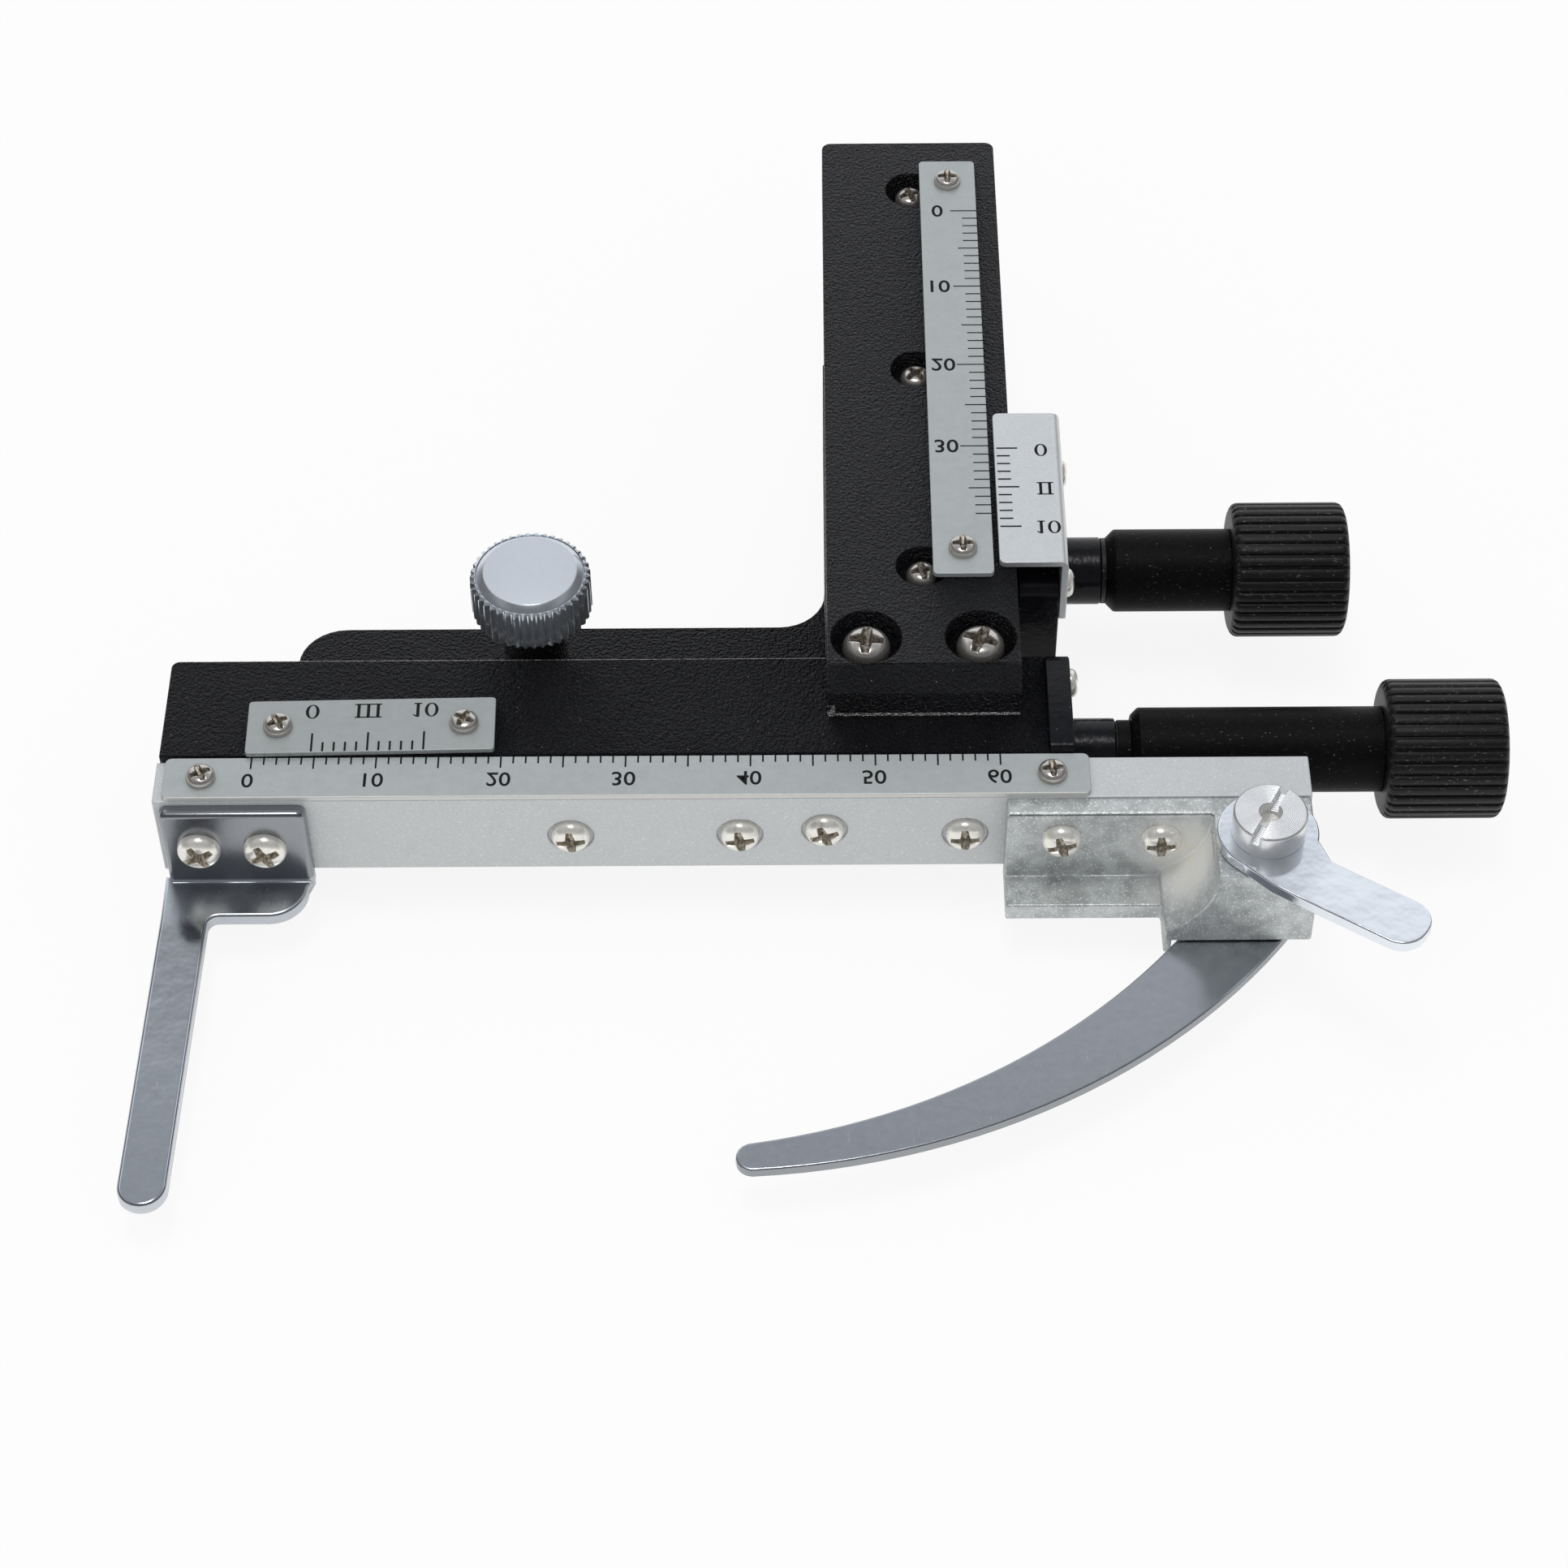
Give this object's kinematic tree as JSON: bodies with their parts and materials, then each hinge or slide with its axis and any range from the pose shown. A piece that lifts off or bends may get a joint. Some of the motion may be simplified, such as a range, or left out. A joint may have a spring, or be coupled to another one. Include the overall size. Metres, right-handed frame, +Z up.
{
  "type": "mechanical microscope stage",
  "caption": "Attachable mechanical microscope stage: black column and cross body, silver slide bar, chrome finger and sprung clamp arm, ribbed knobs, engraved vernier scales.",
  "frame": {"origin": "where the axis of the thumb screw meets the underside of the base, which lies on the microscope's fixed stage", "axes": "+X right along the slide bar towards the knobs, +Y away from the user along the column, +Z up out of the stage"},
  "size_m": [0.1092, 0.1071, 0.02],
  "materials": {
    "black_coat": "textured black powder coat",
    "black_gloss": "smooth glossy black enamel",
    "black_sleeve": "fine matte black",
    "black_knob": "moulded ribbed plastic",
    "scale_grey": "satin anodised with engraved black marks",
    "bright_aluminium": "brushed with engraved black marks",
    "turned_aluminium": "turned, with fine rings",
    "silver_paint": "silver metallic paint",
    "chrome": "bright chrome plate",
    "nickel": "nickel plated",
    "zinc_plate": "zinc plated, bluish, lightly worn",
    "steel": "ground steel",
    "brass": "machined"
  },
  "bodies": {
    "base": {"base_plate": "black_coat", "locating_pins": "steel", "y_bearing_block": "black_gloss", "bearing_screws": "steel", "y_bush": "black_gloss", "y_vernier_plate": "bright_aluminium", "y_vernier_screws": "nickel"},
    "clamp_screw_body": {"thumb_screw": "chrome"},
    "carriage": {"y_cover": "black_coat", "y_rail": "steel", "y_rack": "steel", "rack_screws": "steel", "y_rail_screws": "nickel", "y_scale_plate": "scale_grey", "y_scale_screws": "nickel", "column_screws": "nickel", "x_body": "black_coat", "x_vernier_plate": "scale_grey", "x_vernier_screws": "nickel", "x_end_plate": "black_gloss", "x_end_screws": "nickel", "x_bush": "black_gloss"},
    "y_drive": {"y_shaft": "steel", "y_pinion": "brass", "y_sleeve": "black_sleeve", "y_knob": "black_knob"},
    "x_drive": {"x_lead_screw": "brass", "x_collar": "black_sleeve", "x_sleeve": "black_sleeve", "x_knob": "black_knob"},
    "bar": {"slide_bar": "silver_paint", "x_rail": "steel", "x_nut": "brass", "bar_screws": "nickel", "x_scale_plate": "scale_grey", "x_scale_screws": "nickel", "fixed_finger": "chrome", "finger_screws": "nickel", "clamp_bracket": "zinc_plate", "bracket_screws": "nickel", "torsion_spring": "steel"},
    "clamp": {"clamp_arm": "chrome", "pivot_shaft": "steel", "thumb_lever": "chrome", "pivot_nut": "turned_aluminium"}
  },
  "joints": [
    {"name": "thumb_turn", "type": "hinge", "parent": "base", "child": "clamp_screw_body", "pos_m": [0, 0, 0], "axis": [0, 0, 1], "continuous": true},
    {"name": "y_slide", "type": "slide", "parent": "base", "child": "carriage", "axis": [0, 1, 0], "range_m": [-0.03, 0]},
    {"name": "y_turn", "type": "hinge", "parent": "base", "child": "y_drive", "pos_m": [0.0379, 0.0088, 0.0058], "axis": [1, 0, 0], "range_deg": [-10, 730]},
    {"name": "x_slide", "type": "slide", "parent": "carriage", "child": "bar", "axis": [1, 0, 0], "range_m": [-0.048, 0.0046]},
    {"name": "x_turn", "type": "hinge", "parent": "carriage", "child": "x_drive", "pos_m": [0.0431, -0.0117, 0.00597], "axis": [1, 0, 0], "range_deg": [-175, 1740]},
    {"name": "clamp_swing", "type": "hinge", "parent": "bar", "child": "clamp", "pos_m": [0.0588, -0.0245, 0.0011], "axis": [0, 0, 1], "range_deg": [0, 35], "stiffness_Nm_per_rad": 0.02, "springref_deg": -34.38}
  ],
  "couplings": [
    {"joint": "y_turn", "follows": "y_slide", "rad_per_m": -416.67},
    {"joint": "x_turn", "follows": "x_slide", "rad_per_m": -628.32}
  ]
}
